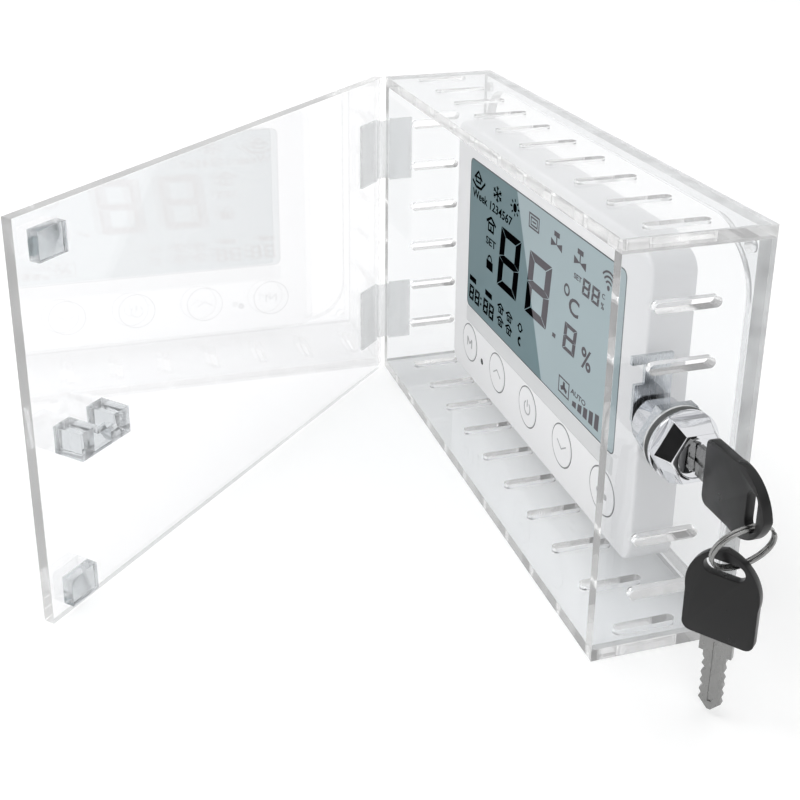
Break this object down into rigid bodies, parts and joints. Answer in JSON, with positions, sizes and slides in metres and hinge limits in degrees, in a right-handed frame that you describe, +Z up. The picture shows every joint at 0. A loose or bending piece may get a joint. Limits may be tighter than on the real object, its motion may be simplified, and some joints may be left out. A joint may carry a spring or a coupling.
{
  "type": "wall thermostat in a lockable clear guard",
  "caption": "Wall thermostat with a display and push buttons inside a clear acrylic guard with vent slots, a hinged door, a cam lock with key, and a spare key on a ring.",
  "frame": {"origin": "middle of the guard's back face, in the plane of the wall", "axes": "+Z up, +X to the right along the wall as seen from the front, +Y into the wall; the front faces -Y"},
  "size_m": [0.2878, 0.2275, 0.15],
  "materials": {
    "clear_acrylic": "clear cast acrylic sheet, flame-polished",
    "clear_film": "clear flexible polypropylene film",
    "chrome_plate": "bright chrome on die-cast zinc",
    "zinc_plate": "bright zinc plate on steel",
    "black_plastic": "moulded black plastic",
    "nickel_plate": "nickel-plated steel",
    "white_plastic": "white moulded ABS, fine satin grain",
    "display_glass": "grey-blue liquid-crystal display glass",
    "light_guide": "clear acrylic light guide with white film",
    "contact_rubber": "carbon-striped silicone",
    "grey_plastic": "light grey satin plastic",
    "board_laminate": "green solder mask on glass laminate",
    "green_plastic": "green moulded nylon"
  },
  "bodies": {
    "cabinet": {"buzzer": "black_plastic", "controller_chip": "black_plastic", "display_cell": "display_glass", "display_contact_strips": "contact_rubber", "display_light_guide": "light_guide", "display_window": "display_glass", "guard_back_frame": "clear_acrylic", "guard_bottom_sheet": "clear_acrylic", "guard_left_sheet": "clear_acrylic", "guard_right_sheet": "clear_acrylic", "guard_top_sheet": "clear_acrylic", "hinge_wall_leaf_lower": "clear_film", "hinge_wall_leaf_upper": "clear_film", "hinge_web_lower": "clear_film", "hinge_web_upper": "clear_film", "housing_screws": "zinc_plate", "lock_body": "chrome_plate", "lock_nut": "zinc_plate", "lock_washer": "white_plastic", "main_board": "board_laminate", "power_module": "black_plastic", "radio_module": "black_plastic", "relays": "grey_plastic", "status_window": "black_plastic", "tact_switches": "black_plastic", "temperature_sensor": "black_plastic", "terminal_block": "green_plastic", "terminal_screws": "zinc_plate", "thermostat_back_cover": "white_plastic", "thermostat_housing": "white_plastic", "thermostat_wall_plate": "zinc_plate", "trim_strip": "grey_plastic"},
    "door": {"door_sheet": "clear_acrylic", "door_stop_upper": "clear_acrylic", "door_stop_lower": "clear_acrylic", "door_keeper": "clear_acrylic", "hinge_door_leaf_upper": "clear_film", "hinge_door_leaf_lower": "clear_film"},
    "plug": {"lock_plug": "chrome_plate", "lock_cam": "zinc_plate", "lock_cam_screw": "zinc_plate"},
    "key": {"key_bow": "black_plastic", "key_blade": "nickel_plate"},
    "ring": {"split_ring": "nickel_plate"},
    "spare_key": {"spare_key_bow": "black_plastic", "spare_key_blade": "nickel_plate"},
    "button_mode": {"button_mode": "white_plastic"},
    "button_up": {"button_up": "white_plastic"},
    "button_power": {"button_power": "white_plastic"},
    "button_down": {"button_down": "white_plastic"},
    "button_fan": {"button_fan": "white_plastic"}
  },
  "joints": [
    {"name": "door_hinge", "type": "hinge", "parent": "cabinet", "child": "door", "pos_m": [-0.1206, -0.05505, 0], "axis": [0, 0, -1], "range_deg": [-45.5, 74.5], "deforming": ["hinge_web_upper", "hinge_web_lower"]},
    {"name": "lock_turn", "type": "hinge", "parent": "cabinet", "child": "plug", "pos_m": [0.119, -0.026, 0.0035], "axis": [1, 0, 0], "range_deg": [0, 90]},
    {"name": "key_withdraw", "type": "slide", "parent": "plug", "child": "key", "axis": [1, 0, 0], "range_m": [0, 0.027]},
    {"name": "ring_swing", "type": "hinge", "parent": "key", "child": "ring", "pos_m": [0.1602, -0.026, -0.0016], "axis": [0, 1, 0], "range_deg": [-45, 8]},
    {"name": "spare_key_swing", "type": "hinge", "parent": "ring", "child": "spare_key", "pos_m": [0.15271, -0.026, -0.02014], "axis": [0, 1, 0], "range_deg": [-35, 8]},
    {"name": "press_mode", "type": "slide", "parent": "cabinet", "child": "button_mode", "axis": [0, 1, 0], "range_m": [0, 0.0004], "stiffness_N_per_m": 2000, "springref_m": -0.0003},
    {"name": "press_up", "type": "slide", "parent": "cabinet", "child": "button_up", "axis": [0, 1, 0], "range_m": [0, 0.0004], "stiffness_N_per_m": 2000, "springref_m": -0.0003},
    {"name": "press_power", "type": "slide", "parent": "cabinet", "child": "button_power", "axis": [0, 1, 0], "range_m": [0, 0.0004], "stiffness_N_per_m": 2000, "springref_m": -0.0003},
    {"name": "press_down", "type": "slide", "parent": "cabinet", "child": "button_down", "axis": [0, 1, 0], "range_m": [0, 0.0004], "stiffness_N_per_m": 2000, "springref_m": -0.0003},
    {"name": "press_fan", "type": "slide", "parent": "cabinet", "child": "button_fan", "axis": [0, 1, 0], "range_m": [0, 0.0004], "stiffness_N_per_m": 2000, "springref_m": -0.0003}
  ]
}
